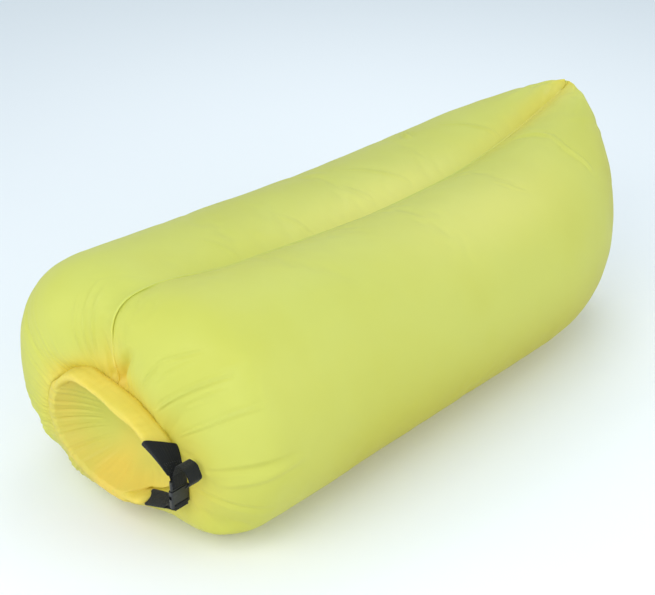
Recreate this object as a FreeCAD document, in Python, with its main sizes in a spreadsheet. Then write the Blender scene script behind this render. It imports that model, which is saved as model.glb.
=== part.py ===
"""Inflatable air lounger: two long air chambers side by side, closed at one end by a rolled mouth.

Millimetres. +X is across the lounger, +Y runs along it towards the raised head end and +Z is up.
The origin is on the ground, under the middle of the lounger's box. The rolled mouth is at the -Y end,
bent round into a loop whose two ends are clipped together with a side-release buckle.
"""
import FreeCAD, Part
import math
import os

import Sketcher

Vector = FreeCAD.Vector
doc = FreeCAD.newDocument("air_lounger")

# ------------------------------------------------------- driving dimensions (millimetres, degrees)

DIMENSIONS = {
    # the two chambers
    "half_length": 950, "half_width": 438, "crown_offset": 151, "chamber_height": 590,
    "front_rise": 30, "tip_height": 685, "dome_length": 130, "taper_length": 600,
    "prow_half_width": 34, "prow_crown": 8.5, "prow_lift": 70, "belly_flattening": 3,
    "head_seam_width": 17,
    "front_half_width": 212, "front_low": 112, "front_high": 368,
    # thin sheet goods
    "skin_wall": 0.6, "liner_wall": 0.4, "liner_gap": 2.2, "web_wall": 0.8, "web_clearance": 0.7,
    "binding_width": 2.4, "binding_height": 5, "binding_gap": 2,
    # the rolled mouth: a flattened roll bent into an upright elliptical loop
    "band_width": 60, "band_thickness": 24, "loop_half_width": 225, "loop_half_height": 130,
    "loop_height": 240, "roll_start_angle": 43, "roll_end_angle": 305, "roll_skin_wall": 4,
    "roll_liner_wall": 2, "layer_gap": 0.5, "strip_width": 34, "strip_thickness": 1.5,
    "strip_spacing": 3, "panel_wall": 1, "panel_gap": 1.5,
    # webbing, and the fabric tabs that hold it
    "webbing_width": 38, "webbing_thickness": 1.6, "tab_width": 58, "tab_thickness": 22,
    "tab_end_width": 42, "tab_end_thickness": 5, "plug_tab_length": 66, "socket_tab_length": 44,
    # side-release buckle, standing upright
    "buckle_distance": 247, "socket_bottom": 178, "socket_width": 52, "socket_thickness": 13,
    "socket_length": 46, "cavity_width": 46, "cavity_thickness": 8.4, "cavity_depth": 31,
    "window_drop": 9, "window_height": 13, "bar_height": 4.5, "slot_height": 5.5,
    "slot_width": 40, "plug_width": 48, "plug_thickness": 8, "plug_length": 27, "part_gap": 0.4,
    "guide_width": 7, "guide_thickness": 5, "guide_length": 25, "arm_offset": 16,
    "arm_thickness": 3, "arm_depth": 6.6,
    # sewing thread
    "thread_width": 0.7, "thread_height": 0.3, "thread_length": 3, "stitch_pitch": 3.6,
}

sheet = doc.addObject("Spreadsheet::Sheet", "Dimensions")
for row, (alias, number) in enumerate(DIMENSIONS.items(), start=1):
    sheet.set("A%d" % row, alias)
    sheet.set("B%d" % row, str(number))
    sheet.setAlias("B%d" % row, alias)
doc.recompute()


def in_sheet(expression):
    """The expression with every driving dimension's name led by the sheet's name."""
    spaced = str(expression).replace("(", " ( ").replace(")", " ) ")
    return " ".join("Dimensions." + word if word in DIMENSIONS else word for word in spaced.split())


def size(expression):
    """The number that an expression in the sheet's names comes to."""
    number = sheet.evalExpression(in_sheet(expression))
    return float(getattr(number, "Value", number))


def bind(item, **expressions):
    """Binds an item's properties to expressions in the sheet's names; __ stands for a dot."""
    for name, expression in expressions.items():
        item.setExpression(name.replace("__", "."), in_sheet(expression))
    return item


subparts = []


def subpart(item, label):
    """Names a finished piece and puts it with the pieces to write."""
    item.Label = label
    subparts.append(item)
    return item


def coded(label, shape):
    """A piece whose shape is made here from the sheet's sizes."""
    item = doc.addObject("Part::Feature", label)
    item.Shape = shape
    return subpart(item, label)


# --------------------------------------------------------------------- sketches, pads and pockets

def origin_plane(body, role):
    """One of a body's own origin planes."""
    return next(feature for feature in body.Origin.OriginFeatures if feature.Role == role)


def outline(body, role, corners, offset="0"):
    """A closed sketch of straight sides on an origin plane, every corner bound to the sheet."""
    sketch = body.newObject("Sketcher::SketchObject", body.Name + "_outline")
    sketch.AttachmentSupport = (origin_plane(body, role), [""])
    sketch.MapMode = "FlatFace"
    bind(sketch, AttachmentOffset__Base__z=offset)
    places = [Vector(size(across), size(along), 0) for across, along in corners]
    for start, end in zip(places, places[1:] + places[:1]):
        sketch.addGeometry(Part.LineSegment(start, end))
    for index, (across, along) in enumerate(corners):
        following = (index + 1) % len(corners)
        sketch.addConstraint(Sketcher.Constraint("Coincident", index, 2, following, 1))
        for kind, expression in (("DistanceX", across), ("DistanceY", along)):
            constraint = Sketcher.Constraint(kind, -1, 1, index, 1, size(expression))
            name = "%s_%d" % (kind, index)
            sketch.renameConstraint(sketch.addConstraint(constraint), name)
            bind(sketch, **{"Constraints__" + name: expression})
    return sketch


def rectangle(across, half_across, low, high):
    """The corners of a rectangle centred on across and reaching from low to high."""
    left = "%s - (%s)" % (across, half_across)
    right = "%s + (%s)" % (across, half_across)
    return [(left, low), (right, low), (right, high), (left, high)]


def pad(body, sketch, length, symmetric=False):
    """Pads a sketch along its normal, or evenly to both sides of its plane."""
    feature = body.newObject("PartDesign::Pad", body.Name + "_pad")
    feature.Profile = sketch
    feature.SideType = "Symmetric" if symmetric else "One side"
    bind(feature, Length=length)
    doc.recompute()
    return feature


def pocket(body, sketch, length, symmetric=False):
    """Cuts a sketch's area out of a body, and makes sure that something was cut."""
    before = body.Shape.Volume
    feature = body.newObject("PartDesign::Pocket", body.Name + "_pocket")
    feature.Profile = sketch
    feature.SideType = "Symmetric" if symmetric else "One side"
    bind(feature, Length=length)
    doc.recompute()
    if not feature.Shape.Volume < before - 1:
        raise RuntimeError("the pocket in %s cuts nothing" % body.Name)
    return feature


def round_edges(body, radius, chosen):
    """Rounds the edges of a body's tip that a test picks out."""
    tip = body.Tip
    names = ["Edge%d" % n for n, edge in enumerate(tip.Shape.Edges, start=1) if chosen(edge)]
    feature = body.newObject("PartDesign::Fillet", body.Name + "_rounding")
    feature.Base = (tip, names)
    feature.Radius = radius
    doc.recompute()
    return feature


def runs_along(edge, axis):
    """True for a straight edge parallel to an axis."""
    if edge.Curve.TypeId != "Part::GeomLine":
        return False
    direction = edge.lastVertex().Point - edge.firstVertex().Point
    return abs(direction.normalize().dot(axis)) > 0.999


ACROSS = Vector(1, 0, 0)
ALONG = Vector(0, 1, 0)
UP = Vector(0, 0, 1)

# ------------------------------------------------------------------------------ the air chambers

# Each chamber's section is an ellipse cut off by the web at X = 0 and flattened where it rests.
# It swells out of the rolled mouth in a short blunt dome, and narrows to an upright seam, the
# prow, under the raised tip.

DOME_STEPS = 8
MIDDLE_STEPS = 5
TAPER_STEPS = 12
OUTER_ARC_POINTS = 21
INNER_ARC_POINTS = 5

chamber_front = -(size("half_length") - size("band_width") - size("panel_gap * 2 + panel_wall"))
chamber_back = size("half_length - binding_height - binding_gap")


def chamber_stations():
    """Places along Y where the chamber's section is drawn, closest where it changes fastest."""
    quarter = math.pi / 2
    dome_end = chamber_front + size("dome_length")
    taper_start = chamber_back - size("taper_length")
    dome = [
        chamber_front + size("dome_length") * (1 - math.cos(quarter * step / DOME_STEPS))
        for step in range(DOME_STEPS + 1)
    ]
    middle = [
        dome_end + (taper_start - dome_end) * step / MIDDLE_STEPS
        for step in range(1, MIDDLE_STEPS)
    ]
    taper = [
        taper_start + size("taper_length") * math.sin(quarter * step / TAPER_STEPS)
        for step in range(TAPER_STEPS + 1)
    ]
    return dome + middle + taper


def between(start, end, share):
    """The value that lies a share of the way from start to end."""
    return start + (end - start) * share


def swell(share):
    """A quarter circle's rise, from 0 to 1."""
    return math.sqrt(max(0.0, 1 - (1 - share) ** 2))


def chamber_form(station):
    """(crown's X, half-axis along X, lowest Z, highest Z) of the chamber's section."""
    dome = swell(min(1, (station - chamber_front) / size("dome_length")))
    to_tip = min(1, (chamber_back - station) / size("taper_length"))
    taper = swell(to_tip)
    to_front = max(0, station / chamber_front)
    outer = between(size("front_half_width"), size("half_width"), dome)
    outer = between(size("prow_half_width"), outer, taper)
    crown_share = between(size("prow_crown / prow_half_width"), size("crown_offset / half_width"), taper)
    crown = outer * crown_share
    high = size("chamber_height") + size("front_rise") * to_front
    high = between(size("front_high"), high, dome)
    high = between(size("tip_height"), high, 1 - (1 - to_tip) ** 1.5)
    low = between(size("front_low"), 0, dome)
    low = between(size("prow_lift"), low, 1 - (1 - to_tip) ** 4)
    return crown, outer - crown, low, high


def arc_along(places):
    """A smooth edge through a list of places."""
    curve = Part.BSplineCurve()
    curve.interpolate(places)
    return curve.toShape()


def chamber_section(station, inset):
    """The closed wire of the right-hand chamber's section, drawn in from the skin by inset."""
    crown, half_across, low, high = chamber_form(station)
    nominal_half_up = (high - low + size("belly_flattening")) / 2
    middle = high - nominal_half_up
    half_across -= inset
    half_up = nominal_half_up - inset
    web_side = size("web_wall / 2 + web_clearance") + inset
    web_angle = math.acos((web_side - crown) / half_across)
    belly_angle = math.asin((middle - low - inset) / half_up)
    station *= 1 - inset / size("half_length")

    def place(angle):
        across = crown + half_across * math.cos(angle)
        return Vector(across, station, middle + half_up * math.sin(angle))

    def arc(first, last, count):
        return [place(between(first, last, step / (count - 1))) for step in range(count)]

    outer = arc(web_angle, -belly_angle, OUTER_ARC_POINTS)
    inner = arc(belly_angle - math.pi, -web_angle, INNER_ARC_POINTS)
    belly = Part.makeLine(outer[-1], inner[0])
    web = Part.makeLine(inner[-1], outer[0])
    return Part.Wire([arc_along(outer), belly, arc_along(inner), web])


def chamber_surface(inset):
    """The closed shell of the chamber's skin drawn in by inset."""
    wires = [chamber_section(station, inset) for station in chamber_stations()]
    return Part.makeLoft(wires, True, True).Shells[0]


def hollow(outer_inset, wall):
    """A thin closed skin, from outer_inset inwards by the wall's thickness."""
    outside = chamber_surface(outer_inset)
    inside = chamber_surface(outer_inset + wall)
    inside.reverse()
    return Part.makeSolid(Part.makeCompound([outside, inside]))


def add_chambers():
    """Outer skins and the airtight liners inside them, right and left."""
    skin = hollow(0, size("skin_wall"))
    liner = hollow(size("skin_wall + liner_gap"), size("liner_wall"))
    middle_plane = (Vector(0, 0, 0), ACROSS)
    coded("shell_right", skin)
    coded("shell_left", skin.mirror(*middle_plane))
    coded("liner_right", liner)
    coded("liner_left", liner.mirror(*middle_plane))


# --------------------------------------------------------------- the web and the seams along it

def seam_place(station, side):
    """Where the two skins meet the web: side 1 is the valley on top, -1 the groove underneath."""
    crown, half_across, low, high = chamber_form(station)
    half_up = (high - low + size("belly_flattening")) / 2
    rise = half_up * math.sqrt(1 - (crown / half_across) ** 2)
    return Vector(0, station, high - half_up + side * rise)


def seam_line(side, shift, first_station):
    """The seam's places along the lounger, moved by shift along Z."""
    stations = chamber_stations()[first_station:-1]
    return [seam_place(station, side) + UP * shift for station in stations]


def upright_sheet(bottom, top, width):
    """A flat piece in the middle plane, between two lines of places, of a given width along X."""
    corners = bottom + top[::-1]
    face = Part.Face(Part.makePolygon(corners + corners[:1]))
    face.translate(Vector(-width / 2, 0, 0))
    return face.extrude(Vector(width, 0, 0))


def add_web():
    """The partition between the chambers, and the bound seams that hold the skins to it."""
    web = upright_sheet(seam_line(-1, 0, 1), seam_line(1, 0, 1), size("web_wall"))
    coded("centre_web", web)
    gap = size("binding_gap")
    far_side = gap + size("binding_height")
    valley = [seam_line(1, shift, DOME_STEPS) for shift in (gap, far_side)]
    groove = [seam_line(-1, -shift, DOME_STEPS) for shift in (far_side, gap)]
    coded("valley_seam", upright_sheet(*valley, size("binding_width")))
    coded("base_seam", upright_sheet(*groove, size("binding_width")))


def add_head_seam():
    """The upright bound seam that closes both chambers at the prow."""
    body = doc.addObject("PartDesign::Body", "head_seam")
    corners = rectangle("half_length - binding_height / 2", "binding_height / 2",
                        "prow_lift", "tip_height - binding_height")
    pad(body, outline(body, "YZ_Plane", corners), "head_seam_width", symmetric=True)
    round_edges(body, size("binding_height / 3"), lambda edge: True)
    subpart(body, "head_seam")


# -------------------------------------------------------------------------------- the rolled mouth

loop_plane = -size("half_length - band_width / 2")


def loop_place(angle, outwards=0):
    """A point on the loop's middle line, or on a line outside it."""
    turn = math.radians(angle)
    across = (size("loop_half_width") + outwards) * math.cos(turn)
    up = size("loop_height") + (size("loop_half_height") + outwards) * math.sin(turn)
    return Vector(across, loop_plane, up)


def loop_heading(angle):
    """The loop's direction there, towards growing angles."""
    turn = math.radians(angle)
    across = -size("loop_half_width") * math.sin(turn)
    return Vector(across, 0, size("loop_half_height") * math.cos(turn)).normalize()


def bent_band(name, half_width, half_thickness, shift="0"):
    """A band of oval section following the loop, moved outwards by shift."""
    spine = doc.addObject("Part::Ellipse", name + "_spine")
    turn_up = FreeCAD.Rotation(ACROSS, 90)
    spine.Placement = FreeCAD.Placement(Vector(0, loop_plane, size("loop_height")), turn_up)
    bind(spine, MajorRadius="loop_half_width + " + shift, MinorRadius="loop_half_height + " + shift,
         Angle1="roll_start_angle", Angle2="roll_end_angle")
    profile = doc.addObject("Part::Ellipse", name + "_profile")
    heading = loop_heading(size("roll_start_angle"))
    start = loop_place(size("roll_start_angle"), size(shift))
    facing = FreeCAD.Rotation(ALONG, Vector(), heading, "ZXY")
    profile.Placement = FreeCAD.Placement(start, facing)
    bind(profile, MajorRadius=half_width, MinorRadius=half_thickness)
    band = doc.addObject("Part::Sweep", name)
    band.Sections = [profile]
    band.Spine = (spine, ["Edge1"])
    band.Solid = True
    band.Frenet = True
    return band


def sleeve(label, inset, wall):
    """A hollow turn of the roll, with its wall's outside drawn in from the band's by inset."""
    inner = inset + " + " + wall
    outside = bent_band(label + "_outside", "band_width / 2 - (%s)" % inset,
                        "band_thickness / 2 - (%s)" % inset)
    inside = bent_band(label + "_inside", "band_width / 2 - (%s)" % inner,
                       "band_thickness / 2 - (%s)" % inner)
    turn = doc.addObject("Part::Cut", label)
    turn.Base = outside
    turn.Tool = inside
    return subpart(turn, label)


def add_roll():
    """The rolled mouth: turns of skin round turns of liner, round two flexible plastic strips."""
    sleeve("roll_skin", "0", "roll_skin_wall")
    sleeve("roll_liner", "roll_skin_wall + layer_gap", "roll_liner_wall")
    for label, shift in (("mouth_strip_outer", "strip_spacing / 2"),
                         ("mouth_strip_inner", "strip_spacing / -2")):
        strip = bent_band(label, "strip_width / 2", "strip_thickness / 2", shift)
        subpart(strip, label)


def add_mouth_panel():
    """The inner layer of the mouth, drawn flat across the inside of the loop."""
    rim = doc.addObject("Part::Ellipse", "mouth_panel_rim")
    rim.Placement = FreeCAD.Placement(Vector(), FreeCAD.Rotation(ACROSS, 90))
    bind(rim, MajorRadius="loop_half_width - band_thickness / 2",
         MinorRadius="loop_half_height - band_thickness / 2",
         Placement__Base__y="band_width + panel_gap - half_length",
         Placement__Base__z="loop_height")
    panel = doc.addObject("Part::Extrusion", "mouth_panel")
    panel.Base = rim
    panel.Dir = ALONG
    panel.Solid = True
    bind(panel, LengthFwd="panel_wall")
    subpart(panel, "mouth_panel")


# ------------------------------------------------------------------------------ tabs and webbing

def tapered_tab(label, angle, length, turned):
    """A fabric tab over one end of the roll, narrowing to the webbing's width."""
    body = doc.addObject("PartDesign::Body", label)
    wide = outline(body, "YZ_Plane", rectangle("0", "tab_width / 2",
                                               "tab_thickness / -2", "tab_thickness / 2"))
    narrow = outline(body, "YZ_Plane", rectangle("0", "tab_end_width / 2",
                                                 "tab_end_thickness / -2", "tab_end_thickness / 2"),
                     offset=length)
    loft = body.newObject("PartDesign::AdditiveLoft", label + "_loft")
    loft.Profile = wide
    loft.Sections = [narrow]
    doc.recompute()
    heading = loop_heading(angle) * turned
    facing = FreeCAD.Rotation(heading, ALONG, Vector(), "XYZ")
    body.Placement = FreeCAD.Placement(loop_place(angle) + heading * size("layer_gap"), facing)
    return subpart(body, label)


def webbing(label, route):
    """Flat webbing along a route of points in the loop's plane, each with its corner's radius."""
    edges = []
    places = [in_loop_plane(across, up) for across, up, radius in route]
    bends = [radius for across, up, radius in route]
    start = places[0]
    for before, corner, after, bend in zip(places, places[1:], places[2:], bends[1:]):
        arriving = (corner - before).normalize()
        leaving = (after - corner).normalize()
        half_turn = arriving.getAngle(leaving) / 2
        reach = bend * math.tan(half_turn)
        inward = (leaving - arriving).normalize()
        middle = corner + inward * (bend / math.cos(half_turn) - bend)
        first = corner - arriving * reach
        last = corner + leaving * reach
        edges.append(Part.makeLine(start, first))
        edges.append(Part.Arc(first, middle, last).toShape())
        start = last
    edges.append(Part.makeLine(start, places[-1]))
    path = Part.Wire(edges)
    half_wide = ALONG * size("webbing_width / 2")
    heading = (places[1] - places[0]).normalize()
    half_thick = heading.cross(ALONG).normalize() * size("webbing_thickness / 2")
    begin = places[0]
    corners = [begin - half_wide - half_thick, begin + half_wide - half_thick,
               begin + half_wide + half_thick, begin - half_wide + half_thick]
    profile = Part.makePolygon(corners + corners[:1])
    return coded(label, path.makePipeShell([profile], True, False))


def in_loop_plane(across, up):
    """A point in the loop's plane."""
    return Vector(across, loop_plane, up)


def tab_end(angle, length, turned):
    """The middle of a tab's narrow end."""
    return loop_place(angle) + loop_heading(angle) * turned * (length + size("layer_gap"))


def adjuster_route():
    """From the upper tab, down behind the plug, out under its middle bar and up into a loose tail.

    Each point is (X, Z, radius of its bend), in the loop's plane.
    """
    start = tab_end(size("roll_start_angle"), size("plug_tab_length + webbing_thickness"), -1)
    axis = size("buckle_distance")
    aside = size("plug_thickness / 2 + webbing_thickness / 2 + part_gap")
    lower_slot = size("socket_bottom + socket_length + part_gap + bar_height + slot_height / 2")
    top = size("socket_bottom + socket_length + part_gap + plug_length")
    tight = size("webbing_thickness * 1.4")
    fold = size("webbing_thickness * 0.8")
    return [
        (start.x, start.z, 0),
        (axis - aside, top + 5, 6),
        (axis - aside, lower_slot, tight),
        (axis + aside, lower_slot, tight),
        (axis + aside, top + 6, 9),
        (axis + 27, top + 33, 14),
        (axis + 60, top + 33, 16),
        (axis + 74, top + 4, 12),
        (axis + 62, top - 17, fold),
        (axis + 59, top - 15, fold),
        (axis + 67, top + 1, 0),
    ]


def anchor_route():
    """From the lower tab, up to the socket, round its bar and back on itself.

    Each point is (X, Z, radius of its bend), in the loop's plane.
    """
    start = tab_end(size("roll_end_angle"), size("socket_tab_length + webbing_thickness"), 1)
    axis = size("buckle_distance")
    aside = size("socket_thickness / 2 + webbing_thickness / 2 + part_gap")
    slot_middle = size("socket_bottom + bar_height + slot_height / 2")
    under = size("socket_bottom") - size("webbing_thickness / 2 + part_gap")
    tight = size("webbing_thickness * 1.4")
    return [
        (start.x, start.z, 0),
        (axis - aside, under - 1, tight),
        (axis - aside, slot_middle, tight),
        (axis + aside, slot_middle, tight),
        (axis + aside, under - 5, tight),
        (start.x + 16, start.z - 4, 0),
    ]


# ------------------------------------------------------------------------------------- the buckle

LOOP_OFFSET = "half_length - band_width / 2"
SOCKET_TOP = "socket_bottom + socket_length"
SHOULDER = "socket_bottom + socket_length + part_gap"


def add_socket():
    """The hollow half of the buckle, with a window in each side and a bar for its webbing."""
    body = doc.addObject("PartDesign::Body", "buckle_socket")
    block = rectangle("buckle_distance", "socket_thickness / 2", "socket_bottom", SOCKET_TOP)
    pad(body, outline(body, "XZ_Plane", block, LOOP_OFFSET), "socket_width", symmetric=True)
    round_edges(body, size("socket_thickness / 4"), lambda edge: runs_along(edge, UP))
    cavity = rectangle("buckle_distance", "cavity_thickness / 2",
                       "socket_bottom + socket_length - cavity_depth", SOCKET_TOP + " + 1")
    pocket(body, outline(body, "XZ_Plane", cavity, LOOP_OFFSET), "cavity_width", symmetric=True)
    window = rectangle("buckle_distance", "cavity_thickness / 2",
                       SOCKET_TOP + " - window_drop - window_height", SOCKET_TOP + " - window_drop")
    pocket(body, outline(body, "XZ_Plane", window, LOOP_OFFSET), "socket_width + 2", symmetric=True)
    slot = rectangle("0 - (%s)" % LOOP_OFFSET, "slot_width / 2",
                     "socket_bottom + bar_height", "socket_bottom + bar_height + slot_height")
    pocket(body, outline(body, "YZ_Plane", slot, "buckle_distance"),
           "socket_thickness + 2", symmetric=True)
    subpart(body, "buckle_socket")


def add_plug():
    """The half of the buckle that goes in: a two-slot adjuster above, a guide tongue below."""
    body = doc.addObject("PartDesign::Body", "buckle_plug")
    block = rectangle("buckle_distance", "plug_thickness / 2", SHOULDER, SHOULDER + " + plug_length")
    pad(body, outline(body, "XZ_Plane", block, LOOP_OFFSET), "plug_width", symmetric=True)
    round_edges(body, size("plug_thickness / 3.2"), lambda edge: runs_along(edge, UP))
    for bars in (1, 2):
        low = "%s + %d * bar_height + %d * slot_height" % (SHOULDER, bars, bars - 1)
        slot = rectangle("0 - (%s)" % LOOP_OFFSET, "slot_width / 2", low, low + " + slot_height")
        pocket(body, outline(body, "YZ_Plane", slot, "buckle_distance"),
               "plug_thickness + 2", symmetric=True)
    tongue = rectangle("buckle_distance", "guide_thickness / 2",
                       SHOULDER + " - guide_length", SHOULDER + " + 1")
    pad(body, outline(body, "XZ_Plane", tongue, LOOP_OFFSET), "guide_width", symmetric=True)
    subpart(body, "buckle_plug")


def add_arm(label, side):
    """One springy arm of the plug, with a hooked head that fills the socket's side window."""
    body = doc.addObject("PartDesign::Body", label)
    middle = "0 - (%s)" % LOOP_OFFSET
    root = SHOULDER + " - part_gap"
    head_high = SOCKET_TOP + " - window_drop - part_gap"
    head_low = SOCKET_TOP + " - window_drop - window_height + part_gap"

    def aside(distance):
        return "%s + %d * (%s)" % (middle, side, distance)

    corners = [
        (aside("arm_offset"), root),
        (aside("arm_offset + arm_thickness"), root),
        (aside("arm_offset + arm_thickness"), head_high),
        (aside("socket_width / 2 - part_gap"), head_high),
        (aside("socket_width / 2"), head_high + " - arm_thickness"),
        (aside("arm_offset + arm_thickness"), head_low),
        (aside("arm_offset"), head_low),
    ]
    pad(body, outline(body, "YZ_Plane", corners, "buckle_distance"), "arm_depth", symmetric=True)
    subpart(body, label)


# -------------------------------------------------------------------------------------- stitching

TAB_ROWS = 8


def stitched_box(label, middle, heading, rows, columns):
    """A box with a cross in it, of short raised stitches laid across a flat piece.

    The stitches lie on the face that looks along the heading turned by a quarter about Y.
    """
    turn = FreeCAD.Rotation(heading, ALONG, heading.cross(ALONG), "XYZ")
    box_place = FreeCAD.Placement(middle, turn)
    stitches = []
    for row in range(rows):
        for column in range(columns):
            down = row / (rows - 1)
            over = column / (columns - 1)
            on_edge = down in (0, 1) or over in (0, 1)
            on_cross = min(abs(down - over), abs(down + over - 1)) < 0.5 / rows
            if not (on_edge or on_cross):
                continue
            stitch = Part.makeBox(size("thread_width"), size("thread_length"), size("thread_height"))
            along = (over - 0.5) * (columns - 1) * size("stitch_pitch") - size("thread_width / 2")
            aside = (down - 0.5) * (rows - 1) * size("stitch_pitch") - size("thread_length / 2")
            offset = FreeCAD.Placement(Vector(along, aside, 0), FreeCAD.Rotation())
            stitch.Placement = box_place.multiply(offset)
            stitches.append(stitch)
    return coded(label, Part.makeCompound(stitches))


def stitch_tab(label, angle, length, turned, columns):
    """Stitching on the upper face of a tab, next to the end that holds its webbing."""
    heading = loop_heading(angle) * turned
    facing = heading.cross(ALONG)
    taper = size("tab_thickness - tab_end_thickness") / 2 / length
    slope = (heading - facing * taper).normalize()
    half_box = (columns - 1) / 2 * size("stitch_pitch")
    back = half_box + size("stitch_pitch * 2")
    middle = tab_end(angle, length, turned) + facing * size("tab_end_thickness / 2") - slope * back
    stitched_box(label, middle, slope, TAB_ROWS, columns)


def add_stitching():
    """The thread that holds the webbing to the tabs and to itself."""
    stitch_tab("plug_tab_stitching", size("roll_start_angle"), size("plug_tab_length"), -1, 7)
    stitch_tab("socket_tab_stitching", size("roll_end_angle"), size("socket_tab_length"), 1, 4)

    half_thick = size("webbing_thickness / 2")
    start, corner = (in_loop_plane(across, up) for across, up, radius in anchor_route()[:2])
    heading = (corner - start).normalize()
    middle = start + (corner - start) / 2 + heading.cross(ALONG) * half_thick
    stitched_box("anchor_stitching", middle, heading, TAB_ROWS, 7)

    bend, fold = (in_loop_plane(across, up) for across, up, radius in adjuster_route()[-4:-2])
    heading = (fold - bend).normalize()
    middle = fold - heading * size("stitch_pitch * 3") + heading.cross(ALONG) * half_thick
    stitched_box("tail_stitching", middle, heading, TAB_ROWS, 2)


add_chambers()
add_web()
add_head_seam()
add_roll()
add_mouth_panel()
tapered_tab("plug_tab", size("roll_start_angle"), "plug_tab_length", -1)
tapered_tab("socket_tab", size("roll_end_angle"), "socket_tab_length", 1)
add_socket()
add_plug()
add_arm("arm_front", -1)
add_arm("arm_rear", 1)
webbing("adjuster_webbing", adjuster_route())
webbing("anchor_webbing", anchor_route())
add_stitching()

# ------------------------------------------------------------------------------ check and write

doc.recompute()
for item in doc.Objects:
    if "Invalid" in item.State or "Error" in item.State:
        raise RuntimeError("%s is in state %s" % (item.Label, item.State))
os.makedirs("parts", exist_ok=True)
for item in subparts:
    if item.Shape.isNull() or not item.Shape.isValid() or not item.Shape.Solids:
        raise RuntimeError("%s has no sound shape" % item.Label)
for item in subparts:
    item.Shape.exportStep(os.path.join("parts", item.Label + ".step"))
    box = item.Shape.optimalBoundingBox(False)
    print("%-18s %10.1f mm3" % (item.Label, item.Shape.Volume), box)
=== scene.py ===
"""The looks of an inflatable air lounger: soft skins, rolled mouth, webbing, materials, stage and camera.

Metres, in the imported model's own frame: +X across the lounger, +Y towards its raised head, +Z up.
"""

import math

import bmesh
import bpy
import numpy as np
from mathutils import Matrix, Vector, noise


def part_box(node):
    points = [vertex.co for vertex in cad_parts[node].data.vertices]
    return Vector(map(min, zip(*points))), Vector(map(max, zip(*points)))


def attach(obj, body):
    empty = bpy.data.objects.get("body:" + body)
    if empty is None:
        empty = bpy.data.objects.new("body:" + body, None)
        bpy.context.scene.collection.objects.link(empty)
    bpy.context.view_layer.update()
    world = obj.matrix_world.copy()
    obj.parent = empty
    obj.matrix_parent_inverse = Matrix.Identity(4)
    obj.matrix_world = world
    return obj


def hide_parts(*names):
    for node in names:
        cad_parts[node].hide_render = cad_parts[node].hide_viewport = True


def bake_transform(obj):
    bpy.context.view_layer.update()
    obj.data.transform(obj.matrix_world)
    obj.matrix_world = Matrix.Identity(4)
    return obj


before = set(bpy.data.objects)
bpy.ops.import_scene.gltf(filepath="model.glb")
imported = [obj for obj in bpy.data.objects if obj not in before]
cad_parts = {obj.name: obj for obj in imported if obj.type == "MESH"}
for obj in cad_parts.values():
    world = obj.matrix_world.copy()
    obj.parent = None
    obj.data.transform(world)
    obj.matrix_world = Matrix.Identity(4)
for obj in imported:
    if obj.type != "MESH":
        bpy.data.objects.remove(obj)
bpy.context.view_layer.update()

# --------------------------------------------------------------------------- sizes from the frame

shell_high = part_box("shell_right")[1]
roll_low, roll_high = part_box("roll_skin")
prow_low, prow_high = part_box("head_seam")
socket_low, socket_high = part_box("buckle_socket")
plug_low, plug_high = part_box("buckle_plug")
tail_low, tail_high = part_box("adjuster_webbing")

HALF_WIDTH = shell_high.x
BACK = shell_high.y
TIP = shell_high.z

ROLL_WIDTH = roll_high.y - roll_low.y
ROLL_THICKNESS = 0.024
ROLL_FRONT = roll_low.y
ROLL_BACK = roll_high.y
LOOP_Y = (roll_low.y + roll_high.y) / 2
LOOP_Z = (roll_low.z + roll_high.z) / 2
LOOP_ACROSS = -roll_low.x - ROLL_THICKNESS / 2
LOOP_UP = (roll_high.z - roll_low.z - ROLL_THICKNESS) / 2

WEBBING_WIDTH = tail_high.y - tail_low.y
WEBBING_THICKNESS = 0.0016
BUCKLE_X = (socket_low.x + socket_high.x) / 2
SLOT_RISE = 0.00725
PART_GAP = 0.0004

# ---------------------------------------------------------------------------------- small helpers


def ease(value, low=0.0, high=1.0):
    """A smooth step from 0 at low to 1 at high."""
    share = np.clip((value - low) / (high - low), 0, 1)
    return share * share * (3 - 2 * share)


def hump(value, middle, width):
    """A smooth bump of height 1."""
    return np.exp(-(((value - middle) / width) ** 2))


def boxy(values, power):
    """Values from -1 to 1 pushed outwards by a power below 1, which squares off a round outline."""
    return np.sign(values) * np.abs(values) ** power


def circle(count):
    """Evenly spaced angles around a full turn."""
    return np.linspace(0, 2 * math.pi, count, endpoint=False)


def between(start, end, share):
    """The value that lies a share of the way from start to end."""
    return start + (end - start) * share


def rough(places, scale, seed):
    """Smooth noise from about -1 to 1 at many places, with features of a given size in metres."""
    shift = Vector((seed * 7.3, seed * 3.1, seed * 5.7))
    flat = places.reshape(-1, 3)
    values = [noise.noise(Vector(place) / scale + shift) for place in flat]
    return np.array(values).reshape(places.shape[:-1])


def new_piece(name, places, faces):
    """A new object in the scene, smoothly shaded."""
    mesh = bpy.data.meshes.new(name)
    mesh.from_pydata(places, [], faces)
    piece = bpy.data.objects.new(name, mesh)
    bpy.context.scene.collection.objects.link(piece)
    mesh.polygons.foreach_set("use_smooth", [True] * len(mesh.polygons))
    return piece


def grid_faces(rows, columns, wrap=False):
    """Quads between neighbouring rows of places; wrap joins each row's last place to its first."""
    faces = []
    for row in range(rows - 1):
        for column in range(columns if wrap else columns - 1):
            following = (column + 1) % columns
            low = row * columns
            high = low + columns
            faces.append((low + column, low + following, high + following, high + column))
    return faces


def tube(name, grid):
    """A closed piece from rings of places, one ring a row, with a flat cap on each end."""
    rows, columns = grid.shape[:2]
    faces = grid_faces(rows, columns, wrap=True)
    faces.append(tuple(reversed(range(columns))))
    faces.append(tuple(range((rows - 1) * columns, rows * columns)))
    piece = new_piece(name, grid.reshape(-1, 3).tolist(), faces)
    outwards(piece)
    return piece


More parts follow.
